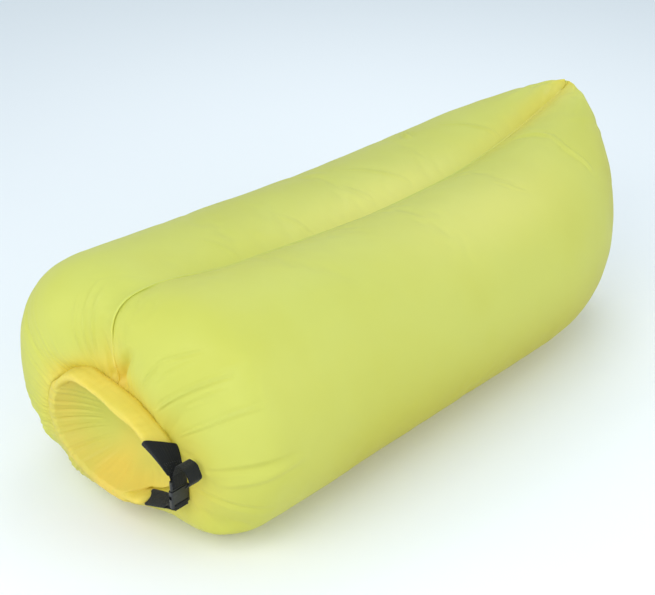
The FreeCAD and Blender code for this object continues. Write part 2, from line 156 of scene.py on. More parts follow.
def outwards(piece):
    """Turns every face of a closed piece outwards."""
    work = bmesh.new()
    work.from_mesh(piece.data)
    bmesh.ops.recalc_face_normals(work, faces=work.faces)
    work.to_mesh(piece.data)
    work.free()


def mark(piece, name, values):
    """Stores one number at each vertex, for the materials to read."""
    layer = piece.data.attributes.new(name, "FLOAT", "POINT")
    layer.data.foreach_set("value", np.asarray(values, np.float32).ravel())


def mark_cloth(piece, along, around):
    """Marks a tube with the metres of cloth along it, one a ring, and around it, one a corner."""
    mark(piece, "along", np.repeat(along, len(around)))
    mark(piece, "around", np.tile(around, len(along)))


def vertex_places(piece):
    """Every vertex's place as an array."""
    flat = np.empty(len(piece.data.vertices) * 3)
    piece.data.vertices.foreach_get("co", flat)
    return flat.reshape(-1, 3)


def set_vertex_places(piece, places):
    """Moves every vertex."""
    piece.data.vertices.foreach_set("co", places.ravel())
    piece.data.update()


def vertex_normals(piece):
    """Every vertex's normal as an array."""
    flat = np.empty(len(piece.data.vertices) * 3)
    piece.data.vertex_normals.foreach_get("vector", flat)
    return flat.reshape(-1, 3)


def apply_modifiers(piece):
    """Makes what a piece's modifiers show its own mesh."""
    graph = bpy.context.evaluated_depsgraph_get()
    mesh = bpy.data.meshes.new_from_object(piece.evaluated_get(graph))
    piece.modifiers.clear()
    piece.data = mesh


def subdivided(piece, levels=1):
    """Subdivides a piece smoothly and keeps the result as its mesh."""
    modifier = piece.modifiers.new("subdivision", "SUBSURF")
    modifier.levels = levels
    modifier.render_levels = levels
    apply_modifiers(piece)
    return piece


# ---------------------------------------------------------------------------- the chambers' shape

# half the slit between the two skins, along the middle
WEB_GAP = 0.00015
# places around a chamber, and rows of them along its body, its front and the funnel in the loop
COLUMNS = 117
BODY_ROWS = 130
DOME_ROWS = 48
BOWL_ROWS = 14
# rows worked out finely along the front before they are spaced evenly
FINE_ROWS = 30 * DOME_ROWS
# Y where the body ends and its blunt front starts
DOME_START = -0.76
JUNCTION_Y = ROLL_BACK + 0.002
# powers of the rounding: 2 is round, and higher is boxier
OUTER_BOXINESS = 2.15
INNER_BOXINESS = 4.0
LOW_BOXINESS = 5.0
GAP_BOXINESS = 3.6
# how far each chamber swells forward beside the roll
FAR_BULGE = 0.054
NEAR_BULGE = 0.022
LEAST_BULGE = 0.012
BOWL_DEPTH = 0.085
TAPER_LENGTH = 0.6
PROW_HALF_WIDTH = 0.034
BODY_HEIGHT = 0.590
FRONT_RISE = 0.030
VALLEY_DEPTH = 0.026
# the valley fills up towards the front
SADDLE = 0.030
# the loop is taller on its left shoulder
LOOP_SHOULDER = 0.028
# where the skin or the funnel meets the roll's front edge
RIM_Y = ROLL_FRONT + 0.004
RIM_OUT = ROLL_THICKNESS / 2 + 0.0015
# the middle of the funnel inside the loop
FUNNEL_Z = LOOP_Z - 0.01


def lobe_form(station):
    """(crown's X, half-axis along X, lowest Z, highest Z) of a chamber's section along the body."""
    to_tip = np.clip((BACK - station) / TAPER_LENGTH, 0, 1)
    taper = np.sqrt(1 - (1 - to_tip) ** 2)
    outer = between(PROW_HALF_WIDTH, HALF_WIDTH, taper)
    crown = outer * between(0.25, 0.345, taper)
    high = BODY_HEIGHT + FRONT_RISE * np.clip(station / DOME_START, 0, 1)
    high = between(TIP, high, 1 - (1 - to_tip) ** 1.5)
    low = between(prow_low.z, 0, 1 - (1 - to_tip) ** 4)
    return crown, outer - crown, low, high


def body_section(station, share):
    """(X, Z) on the right-hand chamber: share 0 is the valley on top, 1 the groove underneath."""
    crown, half_across, low, high = lobe_form(station)
    half_up = (high - low + 0.006) / 2
    start = np.arccos((WEB_GAP - crown) / half_across)
    angle = start * (1 - 2 * share)
    across = crown + half_across * np.cos(angle)
    up = high - half_up + half_up * np.sin(angle)
    valley = -VALLEY_DEPTH * hump(station, 0.05, 0.55) * hump(across, 0, 0.055)
    saddle = 0.006 * hump(across, 0, 0.090) + 0.66 * SADDLE * np.exp(-across / SADDLE)
    valley = valley + saddle * ease(-station, 0.50, -DOME_START)
    return across, np.maximum(up + valley * (share < 0.5), low)


def loop_place(angle):
    """(X, Z) of the loop's middle line at an angle, a little narrower and taller on its left."""
    across = LOOP_ACROSS * np.cos(angle)
    narrower = 1 - 0.10 * ease(-np.cos(angle), -0.1, 0.8)
    taller = LOOP_SHOULDER * hump(angle, math.radians(126), math.radians(31))
    return across * narrower, LOOP_Z + LOOP_UP * np.sin(angle) + taller


def loop_point(side, share):
    """(distance from the middle, Z) of the loop on one side: share 0 is its top, 1 its bottom."""
    across, up = loop_place(math.pi / 2 - side * share * math.pi)
    return np.abs(across), up


def flush(side, share):
    """How far a chamber's front comes forward: 0 behind the roll, 1 flush with the roll's front edge."""
    return ease(share, 0.20, 0.34) if side < 0 else ease(share, 0.86, 0.93)


def front_edge(across):
    """Y of the fold where the front meets the ground, from the right-hand corner to the left."""
    corner = 1.3 * np.maximum(across - 0.235, 0)
    return -0.842 + 0.30 * np.maximum(across, 0) + 0.19 * np.minimum(across, 0) + corner


def front_rows(side, share, loop_x, loop_z, in_gap):
    """Rows evenly spaced from the roll's back edge, forward, outward and back to the body."""
    body_x, body_z = body_section(np.full(COLUMNS, DOME_START), share)
    setback = DOME_START - between(JUNCTION_Y, RIM_Y, flush(side, share))
    beside_roll = ease(share, 0.02, 0.22) * (1 - ease(share, 0.70, 0.85))
    most_bulge = FAR_BULGE if side < 0 else NEAR_BULGE
    bulge = DOME_START - JUNCTION_Y + between(LEAST_BULGE, most_bulge, beside_roll)
    bulge = np.maximum(bulge, setback + 0.003)
    low_part = ease(share, 0.68, 0.82) if side > 0 else ease(share, 0.80, 0.93)
    tight = between(INNER_BOXINESS if side < 0 else OUTER_BOXINESS, LOW_BOXINESS, low_part)
    full_turn = math.pi - np.arcsin((setback / bulge) ** (tight / 2))
    full_turn = between(full_turn, math.pi / 2, in_gap)
    bulge = between(bulge, setback, in_gap)
    slack = 0.45 * ease(share, 0.30, 0.50) + 0.50 * ease(share, 0.52, 0.68) if side < 0 else 0
    blunt = between(OUTER_BOXINESS - slack, LOW_BOXINESS, low_part)
    outer_power = 2 / between(GAP_BOXINESS, blunt, ease(share, 0.0, 0.14))
    inner_most = np.where(full_turn > math.pi / 2 + 1e-6, np.abs(np.cos(full_turn)) ** (2 / tight), 0)
    fine = []
    for turn in np.linspace(1, 0, FINE_ROWS)[:, None] * full_turn:
        cosine = np.abs(np.cos(turn))
        past = turn > math.pi / 2
        power = np.where(past, 2 / tight, outer_power)
        leaving = np.where(past, 1 + cosine**power, 1 - cosine**power)
        inwards = leaving / (1 + inner_most)
        across = np.maximum(between(body_x, loop_x, inwards), WEB_GAP)
        up = between(body_z, loop_z, inwards)
        fine.append(np.stack([across, DOME_START - bulge * np.sin(turn) ** power, up], -1))
    fine = np.array(fine)
    steps = np.linalg.norm(np.diff(fine, axis=0), axis=-1)
    travel = np.concatenate([np.zeros((1, COLUMNS)), np.cumsum(steps, axis=0)])
    rows = np.empty((DOME_ROWS, COLUMNS, 3))
    for column in range(COLUMNS):
        spots = travel[-1, column] * np.arange(DOME_ROWS) / DOME_ROWS
        for axis in range(3):
            rows[:, column, axis] = np.interp(spots, travel[:, column], fine[:, column, axis])
    return rows


def lobe_grid(side):
    """Places on one chamber's skin: rows run from inside the loop, over the front and to the head."""
    share = np.linspace(0, 1, COLUMNS)
    rows = []
    loop_x, loop_z = loop_point(side, share)
    loop_x = loop_x * (1 + flush(side, share) * RIM_OUT / LOOP_ACROSS)
    loop_z = LOOP_Z + (loop_z - LOOP_Z) * (1 + flush(side, share) * RIM_OUT / LOOP_UP)
    in_gap = ease(share, 0.20, 0.30) * (1 - ease(share, 0.74, 0.84)) if side > 0 else 0 * share

    # the funnel inside the loop
    for row in range(BOWL_ROWS):
        out = math.sin(math.pi / 2 * row / BOWL_ROWS)
        depth = BOWL_DEPTH * (1 - out**2.2)
        across = np.maximum(loop_x * out, WEB_GAP)
        up = between(FUNNEL_Z, loop_z, out)
        rows.append(np.stack([across, np.full(COLUMNS, JUNCTION_Y + depth), up], -1))

    # the blunt front, from the roll's back edge out and over to the body
    rows.extend(front_rows(side, share, loop_x, loop_z, in_gap))

    # the body, narrowing to the prow
    taper = np.linspace(0, 1, BODY_ROWS)
    stations = between(DOME_START, BACK, 0.35 * np.sin(taper * math.pi / 2) + 0.65 * taper)
    for station in stations:
        across, up = body_section(np.full(COLUMNS, station), share)
        rows.append(np.stack([across, np.full(COLUMNS, station), up], -1))
    grid = np.array(rows)
    grid[..., 0] *= side
    return shaped_front(grid, side)


def shaped_front(grid, side):
    """The front's gusset between the chambers, and the curtain that hangs to the ground."""
    across, along, up = grid[..., 0], grid[..., 1], grid[..., 2]
    rows = np.arange(grid.shape[0])[:, None]
    on_front = ease(rows, BOWL_ROWS - 1, BOWL_ROWS + 3) * (1 - ease(along, -0.78, -0.70))
    above_loop = on_front * ease(up, LOOP_Z + 0.06, LOOP_Z + 0.15)
    distance = np.abs(across)
    hold_back = 0.010 * (1 - ease(distance, 0.03, 0.14)) * above_loop
    climb = ease(up, LOOP_Z + 0.16, LOOP_Z + 0.30)
    gusset = between(0.016, 0.100 if side > 0 else 0.038, climb)
    pinch = hump(distance, gusset, between(0.014, 0.030, climb)) * (1 - 0.75 * climb)
    lower = 1 - ease(up, LOOP_Z + 0.24, LOOP_Z + 0.34)
    fold = pinch * above_loop * lower * (0.026 if side > 0 else 0.014)
    along = along + (hold_back + fold) * ease(-along, 0.78, 0.86)

    reach = (0.28, 0.40) if side > 0 else (0.230, 0.262)
    under = on_front * (1 - ease(up, 0.07, 0.16)) * (1 - ease(distance, *reach))
    edge = front_edge(across)
    rim = between(JUNCTION_Y, RIM_Y, flush(side, np.linspace(0, 1, COLUMNS)))
    rim = between(rim, -0.900, ease(-across, 0.14, 0.23))
    standing = between(edge, rim, ease(up, 0.0, LOOP_Z - LOOP_UP))
    forwardness = ease(-along, 0.77, 0.86)
    along = between(along, standing, under * forwardness)
    grid[..., 1] = along
    return grid


def surface_measures(grid):
    """Metres along each column from the roll's back edge, and metres around each row from its top."""
    steps = np.linalg.norm(np.diff(grid, axis=0), axis=-1)
    along = np.concatenate([np.zeros((1, grid.shape[1])), np.cumsum(steps, axis=0)])
    along -= along[BOWL_ROWS]
    steps = np.linalg.norm(np.diff(grid, axis=1), axis=-1)
    around = np.concatenate([np.zeros((grid.shape[0], 1)), np.cumsum(steps, axis=1)], axis=1)
    return along, around


def chamber(name, side):
    """A closed skin: the outer sheet, the flat web side and the prow's end."""
    grid = lobe_grid(side)
    rows, columns = grid.shape[:2]
    last = rows - 1
    faces = grid_faces(rows, columns)
    top_edge = [row * columns for row in range(rows)]
    bottom_edge = [row * columns + columns - 1 for row in range(rows)]
    faces.append(tuple(top_edge + bottom_edge[:0:-1]))
    faces.append(tuple(last * columns + column for column in range(columns)))
    piece = new_piece(name, grid.reshape(-1, 3).tolist(), faces)
    along, around = surface_measures(grid)
    share = np.tile(np.linspace(0, 1, columns), (rows, 1))
    for layer, values in (("along", along), ("around", around), ("share", share)):
        mark(piece, layer, values)
    work = bmesh.new()
    work.from_mesh(piece.data)
    work.verts.ensure_lookup_table()
    bmesh.ops.remove_doubles(work, verts=work.verts[:columns], dist=0.0002)
    crease = work.edges.layers.float.new("crease_edge")
    for edge in work.edges:
        wall = [len(face.verts) > 4 for face in edge.link_faces]
        edge[crease] = 1.0 if any(wall) else 0.0
        edge.smooth = not any(wall)
    bmesh.ops.recalc_face_normals(work, faces=work.faces)
    walls = [face for face in work.faces if len(face.verts) > 4]
    bmesh.ops.triangulate(work, faces=walls, ngon_method="EAR_CLIP")
    work.to_mesh(piece.data)
    work.free()
    return piece


def layer_values(piece, name):
    """One of a piece's marked numbers at each vertex."""
    values = np.zeros(len(piece.data.vertices), np.float32)
    piece.data.attributes[name].data.foreach_get("value", values)
    return values.astype(float)


CLOTH_SETTINGS = {
    "quality": 5,
    "mass": 0.15,
    "tension_stiffness": 25,
    "compression_stiffness": 12,
    "shear_stiffness": 8,
    "bending_stiffness": 0.02,
    "air_damping": 4,
    "use_pressure": True,
    "uniform_pressure_force": 3,
    "vertex_group_mass": "held",
    "vertex_group_shrink": "spare",
    "shrink_min": -0.006,
    "shrink_max": -0.09,
}
SIMULATED_FRAMES = 20
# how far spare cloth reaches from the roll and from the prow
SPARE_REACH = 0.20
# how far the simulation may move a place on the skin
MOST_MOVEMENT = 0.022


def inflate(piece, side):
    """Blows the skin up by cloth simulation: held at its seams, with spare cloth at the roll."""
    rest = vertex_places(piece)
    along = layer_values(piece, "along")
    held = piece.vertex_groups.new(name="held")
    spare = piece.vertex_groups.new(name="spare")
    for index, place in enumerate(rest):
        on_seam = abs(place[0]) < WEB_GAP * 3 or along[index] < 0.004 or place[1] > BACK - 0.004
        on_ground = place[2] < 0.002
        held.add([index], 1.0 if on_seam or on_ground else 0.0, "REPLACE")
        near_roll = float(1 - ease(along[index], 0.0, SPARE_REACH))
        near_prow = float(ease(place[1], BACK - SPARE_REACH, BACK))
        spare.add([index], max(near_roll, near_prow), "REPLACE")
    cloth = piece.modifiers.new("cloth", "CLOTH")
    for name, value in CLOTH_SETTINGS.items():
        setattr(cloth.settings, name, value)
    cloth.settings.effector_weights.gravity = 0
    scene = bpy.context.scene
    cloth.point_cache.frame_start = 1
    cloth.point_cache.frame_end = SIMULATED_FRAMES
    for step in range(1, SIMULATED_FRAMES + 1):
        scene.frame_set(step)
    apply_modifiers(piece)
    scene.frame_set(1)
    moved = vertex_places(piece) - rest
    distance = np.linalg.norm(moved, axis=1, keepdims=True)
    moved *= np.minimum(1, MOST_MOVEMENT / np.maximum(distance, 1e-9))
    places = rest + moved
    places[:, 0] = side * np.maximum(side * places[:, 0], WEB_GAP)
    places[:, 2] = np.maximum(places[:, 2], 0.0)
    set_vertex_places(piece, places)


# ------------------------------------------------------------------------- creases and gathers

# metres around a chamber at its widest
GIRTH = 1.23
# the gathers at the roll: metres between pleats, and how deep they are on each chamber
GATHER_SPACING = 0.013
NEAR_GATHER = 0.0010
FAR_GATHER = 0.0026
# how deep the cloth's gentle unevenness is, and the small tucks along the seam at the head
DRIFT_DEPTH = 0.0022
TUCK_DEPTH = 0.0018

# Each fold: (from along, share, to along, share, half-width, depth). Along is metres of cloth from
# the roll, and share runs from 0 in the valley to 1 underneath. A negative depth is a ridge.
RIGHT_FOLDS = [
    (0.09, 0.155, 0.20, 0.190, 0.0065, -0.0040),
    (0.19, 0.185, 0.27, 0.238, 0.0065, -0.0040),
    (0.14, 0.195, 0.25, 0.245, 0.007, 0.0026),
    (0.06, 0.225, 0.17, 0.270, 0.007, -0.0042),
    (0.15, 0.262, 0.27, 0.308, 0.0065, -0.0050),
    (0.13, 0.285, 0.24, 0.320, 0.007, 0.0028),
    (0.05, 0.335, 0.17, 0.362, 0.007, -0.0036),
    (0.15, 0.356, 0.29, 0.382, 0.007, -0.0046),
    (0.10, 0.480, 0.30, 0.492, 0.016, 0.0050),
    (0.12, 0.520, 0.34, 0.505, 0.018, -0.0050),
    (0.05, 0.560, 0.24, 0.600, 0.014, 0.0036),
    (1.43, 0.155, 1.475, 0.228, 0.007, -0.0030),
    (1.70, 0.040, 1.76, 0.150, 0.012, -0.0060),
    (1.76, 0.150, 1.745, 0.300, 0.012, -0.0060),
]
LEFT_FOLDS = [
    (0.04, 0.072, 0.25, 0.062, 0.006, -0.0034),
    (0.04, 0.092, 0.26, 0.084, 0.006, -0.0036),
    (0.04, 0.118, 0.21, 0.112, 0.006, -0.0030),
    (0.60, 0.015, 0.57, 0.085, 0.007, -0.0035),
    (0.83, 0.075, 0.86, 0.005, 0.007, -0.0040),
    (1.10, 0.090, 1.13, 0.030, 0.007, -0.0040),
    (1.21, 0.150, 1.29, 0.030, 0.007, -0.0042),
    (1.66, 0.160, 1.70, 0.010, 0.007, -0.0042),
    (1.54, 0.160, 1.60, 0.210, 0.010, -0.0070),
]


def fold_depths(along, around, share, folds):
    """How deep a set of folds presses in at each vertex."""
    total = np.zeros_like(along)
    girth = np.maximum(around.max(), GIRTH)
    for first_along, first_share, last_along, last_share, half_width, depth in folds:
        start = np.array([first_along, first_share * girth])
        reach = np.array([last_along, last_share * girth]) - start
        offset = np.stack([along, share * girth], -1) - start
        travel = np.clip(offset @ reach / (reach @ reach), 0, 1)
        distance = np.linalg.norm(offset - travel[:, None] * reach, axis=1)
        ends = np.sqrt(np.maximum(np.sin(math.pi * np.clip(travel, 0.02, 0.98)), 0))
        edge = 1 - 2.2 * (distance / half_width) ** 2
        total += depth * ends * edge * np.exp(-((distance / half_width) ** 2))
    return total


def gathers(along, share, seed, spacing):
    """Small pleats that run away from the roll, each with its own depth and length."""
    turns = share * 0.57 / spacing
    total = np.zeros_like(along)
    for octave, weight in ((1.0, 1.0), (0.57, 0.8), (1.9, 0.5)):
        wander = 0.6 * np.sin(9 * along + 5 * share + seed)
        total += weight * np.sin(2 * math.pi * turns * octave + seed * 1.7 + wander + octave * 3)
    patches = 0.55 + 0.45 * np.sin(2 * math.pi * share * 3.3 + seed * 2.1)
    reach = 0.035 + 0.055 * patches
    return total * np.exp(-np.abs(along) / reach) * (0.4 + 0.6 * patches)


def crumple(piece, side):
    """Presses the folds and gathers into a subdivided skin."""
    places = vertex_places(piece)
    normals = vertex_normals(piece)
    along = layer_values(piece, "along")
    around = layer_values(piece, "around")
    share = layer_values(piece, "share")
    on_skin = np.abs(places[:, 0]) > WEB_GAP * 1.5
    folds = RIGHT_FOLDS if side > 0 else LEFT_FOLDS
    depth = fold_depths(along, around, share, folds)
    outside = ease(along, -0.002, 0.012)
    gap = ease(share, 0.26, 0.36) * (1 - ease(share, 0.70, 0.80)) if side > 0 else 0
    pleats = gathers(along, share, 2.0 + side, GATHER_SPACING) * (1 - gap) * (1 - ease(share, 0.80, 0.95))
    depth = depth + (NEAR_GATHER if side > 0 else FAR_GATHER) * pleats * outside
    drift = rough(places, 0.16, 3 + side) + 0.5 * rough(places, 0.06, 6 + side)
    depth = depth + DRIFT_DEPTH * drift * ease(along, 0.02, 0.15)
    near_head = ease(places[:, 1], BACK - 0.30, BACK)
    tucks = np.sin(share * 62 + 8 * rough(places, 0.12, 9)) * near_head
    depth = depth + TUCK_DEPTH * tucks
    places = places - normals * (depth * on_skin)[:, None]
    places[:, 0] = side * np.maximum(side * places[:, 0], WEB_GAP)
    places[:, 2] = np.maximum(places[:, 2], 0.0)
    set_vertex_places(piece, places)


def loop_distance(places):
    """Metres from each place to the loop's middle line, in the loop's plane and along Y."""
    angle = np.arctan2((places[:, 2] - LOOP_Z) / LOOP_UP, places[:, 0] / LOOP_ACROSS) % (2 * math.pi)
    loop_x, loop_z = loop_place(angle)
    widening = np.hypot(loop_x / LOOP_ACROSS, (loop_z - LOOP_Z) / LOOP_UP)
    across = places[:, 0] / LOOP_ACROSS / widening
    up = (places[:, 2] - LOOP_Z) / LOOP_UP / widening
    from_line = (np.hypot(across, up) - 1) * (LOOP_ACROSS + LOOP_UP) / 2
    return np.hypot(from_line, places[:, 1] - LOOP_Y)


def mark_layers_and_glow(piece):
    """Marks where the cloth is painted more orange: where layers of cloth lie on each other at the roll, with
    a painted glow of light through them, and a painted glow in the groove at the front and along the valley
    near the head.
    """
    places = vertex_places(piece)
    distance = loop_distance(places)
    patches = 0.75 + 0.35 * rough(places, 0.09, 12)
    beside = ease(-places[:, 0], 0.02, 0.16)
    at_roll = hump(distance, 0, between(0.085, 0.050, beside)) * patches
    centre = hump(places[:, 0], 0, 0.06)
    groove = centre * ease(-places[:, 1], 0.80, 0.86) * (1 - ease(places[:, 2], 0.42, 0.56))
    head = hump(places[:, 0], 0, 0.05) * ease(places[:, 1], 0.35, 0.85)
    head = head * ease(places[:, 2], 0.45, 0.55)
    mark(piece, "layers_and_glow", np.clip(at_roll + 0.5 * groove + 0.55 * head, 0, 1))


def light_marks(piece, side):
    """Marks painted light and painted shade: a painted glow along the far chamber's valley, a painted
    highlight on the near chamber's side, and painted shade low down behind the front and beside the head.
    """
    places = vertex_places(piece)
    share = layer_values(piece, "share")
    along, up = places[:, 1], places[:, 2]
    # painted light: a glow along the far chamber's valley, a highlight on the near chamber's side
    if side < 0:
        painted_light = hump(share, 0, 0.075) * hump(along, 0.10, 0.45)
    else:
        painted_light = 0.6 * hump(share, 0.235, 0.09) * hump(along, 0.20, 0.38)
    # painted shade: darker towards the bottom behind the front, and on the side beside the head
    low = 1 - ease(up, 0.06, 0.40)
    behind_front = ease(along, -0.78, -0.35)
    beside_head = ease(along, 0.62, 0.90) * ease(share, 0.24, 0.46)
    mark(piece, "painted_light", painted_light)
    mark(piece, "deep", np.maximum(low * behind_front, 0.8 * beside_head))


def skin(name, side, *nodes):
    """One finished chamber, which stands for its CAD skin and what is sealed inside it."""
    piece = chamber(name, side)
    inflate(piece, side)
    subdivided(piece)
    crumple(piece, side)
    # painted colour: more orange layered cloth with its painted glow, then painted light and painted shade
    mark_layers_and_glow(piece)
    light_marks(piece, side)
    return dress(piece, "ripstop_nylon", nylon, *nodes)


# ------------------------------------------------------------------------------------ materials

LEMON = (0.73, 0.78, 0.19, 1)
DEEP_LEMON = (0.71, 0.74, 0.15, 1)
# the orange of layered cloth, which also carries its painted glow; the same colour tints the light let
# through
ORANGE_YELLOW = (0.95, 0.77, 0.15, 1)
# painted glow and painted highlight
PAINTED_LIGHT_YELLOW = (0.97, 0.94, 0.30, 1)
# painted shade
PAINTED_SHADE_OLIVE = (0.62, 0.58, 0.035, 1)
WEBBING_BLACK = (0.002, 0.0025, 0.003, 1)
YARN_BLACK = (0.011, 0.013, 0.015, 1)
DUSTY_BLACK = (0.022, 0.024, 0.026, 1)
PLASTIC_BLACK = (0.010, 0.011, 0.012, 1)
SCUFFED_BLACK = (0.045, 0.047, 0.048, 1)
THREAD_BLACK = (0.02, 0.02, 0.022, 1)
THREAD_GREY = (0.07, 0.07, 0.075, 1)
# the share of light that the cloth lets through
CLOTH_THROUGH = 0.42
BINDING_THROUGH = 0.35
RIPSTOP_PITCH = 0.006
YARN_PITCH = 0.0011


def new_material(name):
    """An empty node material with its output."""
    material = bpy.data.materials.new(name)
    material.use_nodes = True
    material.node_tree.nodes.clear()
    return material, material.node_tree


def node(tree, kind, settings=None, **inputs):
    """A node with some of its settings and inputs given; an input may be a socket to link from."""
    made = tree.nodes.new(kind)
    for name, value in (settings or {}).items():
        setattr(made, name, value)
    for name, value in inputs.items():
        socket = made.inputs[name.replace("_", " ")]
        if isinstance(value, bpy.types.NodeSocket):
            tree.links.new(value, socket)
        else:
            socket.default_value = value
    return made


def shaded(tree, **inputs):
    """The material's surface, from the shader's inputs."""
    surface = node(tree, "ShaderNodeBsdfPrincipled", **inputs)
    node(tree, "ShaderNodeOutputMaterial", Surface=surface.outputs[0])


def attribute(tree, name):
    """The number marked at each vertex under a name."""
    return node(tree, "ShaderNodeAttribute", {"attribute_name": name}).outputs["Fac"]


def math_node(tree, operation, first, second=0.0, third=0.0):
    """One arithmetic step; each operand is a number or a socket."""
    made = tree.nodes.new("ShaderNodeMath")
    made.operation = operation
    for socket, value in zip(made.inputs, (first, second, third)):
        if isinstance(value, bpy.types.NodeSocket):
            tree.links.new(value, socket)
        else:
            socket.default_value = value
    return made.outputs[0]


def mix_colours(tree, share, first, second):
    """Blends two colours, each a colour or a socket."""
    made = node(tree, "ShaderNodeMix", {"data_type": "RGBA"})
    for socket, value in zip((made.inputs[0], made.inputs[6], made.inputs[7]), (share, first, second)):
        if isinstance(value, bpy.types.NodeSocket):
            tree.links.new(value, socket)
        else:
            socket.default_value = value
    return made.outputs[2]


def object_places(tree):
    """Coordinates in the model's own frame."""
    return node(tree, "ShaderNodeTexCoord").outputs["Object"]


def noise_of(tree, scale, detail=2.0, roughness=0.5):
    """Solid noise with features of about 1 / scale metres."""
    made = node(tree, "ShaderNodeTexNoise", Scale=scale, Detail=detail, Roughness=roughness,
                Vector=object_places(tree))
    return made.outputs["Fac"]


def thread_lines(tree, position, pitch, sharpness):
    """Thin raised lines at a pitch, from a position in metres."""
    turns = math_node(tree, "MULTIPLY", position, math.pi / pitch)
    wave = math_node(tree, "ABSOLUTE", math_node(tree, "COSINE", turns))
    return math_node(tree, "POWER", wave, sharpness)


def nylon_material(name, plain, deep, warm, through):
    """Thin ripstop nylon that lets light through: plain colour, deeper patches, painted light and painted
    shade from the marks, and more orange layers with their painted glow.
    """
    material, tree = new_material(name)
    clouds = node(tree, "ShaderNodeMapRange", Value=noise_of(tree, 3.0, 3.0), From_Min=0.35,
                  From_Max=0.7).outputs[0]
    colour = mix_colours(tree, clouds, plain, deep)
    # painted glow and painted highlight
    colour = mix_colours(tree, attribute(tree, "painted_light"), colour, PAINTED_LIGHT_YELLOW)
    # painted shade: darker low down and beside the head
    shade = math_node(tree, "MULTIPLY", attribute(tree, "deep"), 0.9)
    colour = mix_colours(tree, shade, colour, PAINTED_SHADE_OLIVE)
    # more orange where cloth lies in layers, with its painted glow
    colour = mix_colours(tree, attribute(tree, "layers_and_glow"), colour, warm)
    along = attribute(tree, "along")
    around = attribute(tree, "around")
    grid = math_node(tree, "MAXIMUM", thread_lines(tree, along, RIPSTOP_PITCH, 24),
                     thread_lines(tree, around, RIPSTOP_PITCH, 24))
    weave = math_node(tree, "MULTIPLY", thread_lines(tree, along, YARN_PITCH, 2),
                      thread_lines(tree, around, YARN_PITCH, 2))
    colour = mix_colours(tree, math_node(tree, "MULTIPLY", grid, 0.10), colour, deep)
    crinkle = noise_of(tree, 55.0, 4.0, 0.6)
    height = math_node(tree, "MULTIPLY_ADD", grid, 0.25, math_node(tree, "MULTIPLY", weave, 0.12))
    height = math_node(tree, "MULTIPLY_ADD", crinkle, 1.0, height)
    bump = node(tree, "ShaderNodeBump", Strength=0.10, Distance=0.002, Height=height).outputs[0]
    gloss = node(tree, "ShaderNodeMapRange", Value=noise_of(tree, 18.0, 3.0), To_Min=0.38,
                 To_Max=0.55).outputs[0]
    surface = node(tree, "ShaderNodeBsdfPrincipled", Base_Color=colour, Roughness=gloss,
                   Normal=bump, Specular_IOR_Level=0.30, Sheen_Weight=0.12, Sheen_Roughness=0.4)
    shine_through = mix_colours(tree, 0.35, colour, warm)
    glow = node(tree, "ShaderNodeBsdfTranslucent", Color=shine_through, Normal=bump)
    mixed = tree.nodes.new("ShaderNodeMixShader")
    mixed.inputs[0].default_value = through
    tree.links.new(surface.outputs[0], mixed.inputs[1])
    tree.links.new(glow.outputs[0], mixed.inputs[2])
    node(tree, "ShaderNodeOutputMaterial", Surface=mixed.outputs[0])
    return material


def webbing_material():
    """Black webbing: ribs across, a herringbone of yarns, and fuzz on the edges."""
    material, tree = new_material("black_webbing")
    along = attribute(tree, "along")
    around = attribute(tree, "around")
    zigzag = math_node(tree, "PINGPONG", around, 0.004)
    ribs = thread_lines(tree, math_node(tree, "ADD", along, zigzag), 0.0014, 1.5)
    yarns = thread_lines(tree, around, 0.0016, 1.0)
    weave = math_node(tree, "MULTIPLY", ribs, yarns)
    fuzz = noise_of(tree, 900.0, 2.0)
    dust = noise_of(tree, 70.0, 3.0)
    colour = mix_colours(tree, weave, WEBBING_BLACK, YARN_BLACK)
    colour = mix_colours(tree, math_node(tree, "MULTIPLY", dust, 0.2), colour, DUSTY_BLACK)
    height = math_node(tree, "MULTIPLY_ADD", fuzz, 0.3, weave)
    bump = node(tree, "ShaderNodeBump", Strength=0.6, Distance=0.0006, Height=height).outputs[0]
    shaded(tree, Base_Color=colour, Roughness=0.8, Normal=bump, Specular_IOR_Level=0.25,
           Sheen_Weight=0.08, Sheen_Roughness=0.5)
    return material


def plastic_material():
    """Moulded black acetal: a fine spark-eroded grain, scuffed a little."""
    material, tree = new_material("buckle_plastic")
    grain = noise_of(tree, 1400.0, 2.0)
    scuffs = node(tree, "ShaderNodeMapRange", Value=noise_of(tree, 120.0, 6.0, 0.7), From_Min=0.55,
                  From_Max=0.75).outputs[0]
    colour = mix_colours(tree, scuffs, PLASTIC_BLACK, SCUFFED_BLACK)
    gloss = math_node(tree, "MULTIPLY_ADD", scuffs, 0.25, 0.34)
    bump = node(tree, "ShaderNodeBump", Strength=0.25, Distance=0.0003, Height=grain).outputs[0]
    shaded(tree, Base_Color=colour, Roughness=gloss, Normal=bump, Specular_IOR_Level=0.5)
    return material


def thread_material():
    """Bonded black thread with a faint twist."""
    material, tree = new_material("sewing_thread")
    twist = noise_of(tree, 2500.0, 1.0)
    colour = mix_colours(tree, twist, THREAD_BLACK, THREAD_GREY)
    bump = node(tree, "ShaderNodeBump", Strength=0.4, Distance=0.0002, Height=twist).outputs[0]
    shaded(tree, Base_Color=colour, Roughness=0.5, Normal=bump)
    return material


nylon = nylon_material("ripstop_nylon", LEMON, DEEP_LEMON, ORANGE_YELLOW, CLOTH_THROUGH)
binding = nylon_material("seam_binding", LEMON, DEEP_LEMON, ORANGE_YELLOW, BINDING_THROUGH)
webbing_look = webbing_material()
plastic = plastic_material()
thread = thread_material()


